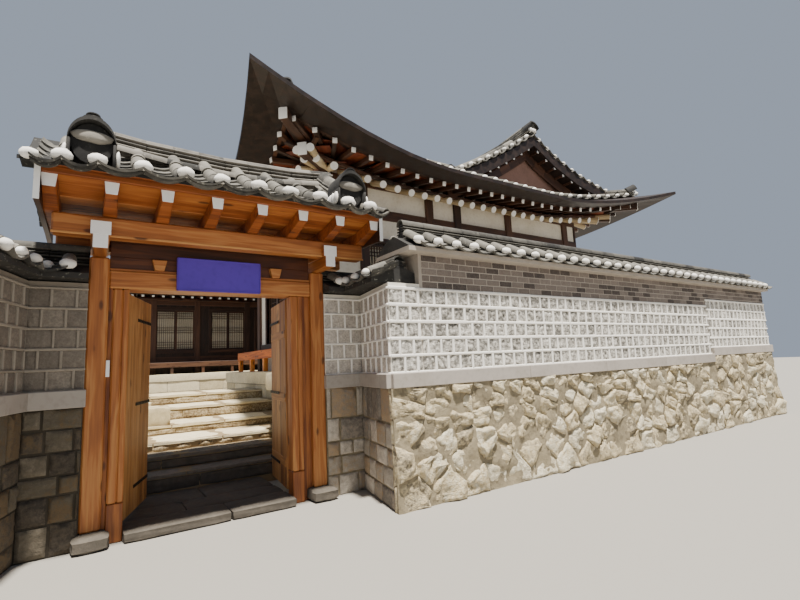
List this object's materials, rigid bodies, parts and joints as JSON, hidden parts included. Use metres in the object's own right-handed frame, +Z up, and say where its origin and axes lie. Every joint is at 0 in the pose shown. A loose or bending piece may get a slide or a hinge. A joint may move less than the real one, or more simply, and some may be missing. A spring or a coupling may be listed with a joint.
{
  "type": "hanok house",
  "caption": "Timber street gate with two leaves in a stone and block wall, stone steps behind it, and a tiled timber house round a yard on a stone podium.",
  "frame": {"origin": "on the ground at the middle of the gate, in the front face of its posts", "axes": "+X along the street to the right, +Y into the property, +Z up"},
  "size_m": [14.55, 18.38, 6.9302],
  "materials": {
    "timber": "oiled orange-brown pine",
    "dark_timber": "dark stained timber",
    "roof_tile": "matt grey fired tile, sun-bleached",
    "granite": "pale dressed granite",
    "rubble": "rough field stone with mortar",
    "block": "grey stone blocks with wide pale joints",
    "plaster": "lime plaster between timbers",
    "sign": "violet-blue painted board"
  },
  "bodies": {
    "root": {"gate_threshold": "granite", "base_stone_left": "granite", "base_stone_right": "granite", "gate_post_left": "timber", "gate_post_right": "timber", "door_jamb_left": "timber", "door_jamb_right": "timber", "gate_lintel": "timber", "head_panel": "dark_timber", "sign_board": "sign", "cross_beam_left": "timber", "cross_beam_right": "timber", "eave_purlin_front": "timber", "eave_purlin_rear": "timber", "gate_rafters_front": "timber", "gate_rafters_rear": "timber", "gate_roof_front": "roof_tile", "gate_roof_rear": "roof_tile", "verge_ridge_left": "roof_tile", "verge_ridge_right": "roof_tile", "gate_ridge": "roof_tile", "verge_board_left": "dark_timber", "verge_board_right": "dark_timber", "left_wall_base": "rubble", "left_wall": "block", "right_low_wall_base": "rubble", "right_low_wall": "block", "street_wall_base": "rubble", "street_wall": "block", "left_wall_coping": "roof_tile", "right_low_wall_coping": "roof_tile", "street_wall_coping": "roof_tile", "stone_steps": "granite", "stair_pier": "rubble", "podium": "granite", "house_floor": "dark_timber", "veranda_west": "dark_timber", "veranda_rear": "dark_timber", "roof_front": "roof_tile", "roof_west_skirt": "roof_tile", "roof_east": "roof_tile", "roof_east_skirt": "roof_tile", "roof_rear": "roof_tile", "west_gable": "plaster", "street_gable": "plaster", "ridge_front": "roof_tile", "ridge_east": "roof_tile", "ridge_rear": "roof_tile", "wall_west": "plaster", "wall_street": "plaster", "wall_court_front": "plaster", "wall_court_east": "plaster", "wall_court_rear": "plaster", "wall_rear_west": "plaster", "wall_north": "plaster", "wall_east": "plaster"},
    "leaf_left": {"door_leaf_left": "timber"},
    "leaf_right": {"door_leaf_right": "timber"}
  },
  "joints": [
    {"name": "left_leaf_pivot", "type": "hinge", "parent": "root", "child": "leaf_left", "pos_m": [-0.8, 0.202, 0.09], "axis": [0, 0, 1], "range_deg": [-71, 25]},
    {"name": "right_leaf_pivot", "type": "hinge", "parent": "root", "child": "leaf_right", "pos_m": [0.7, 0.202, 0.09], "axis": [0, 0, 1], "range_deg": [-4, 97]}
  ]
}
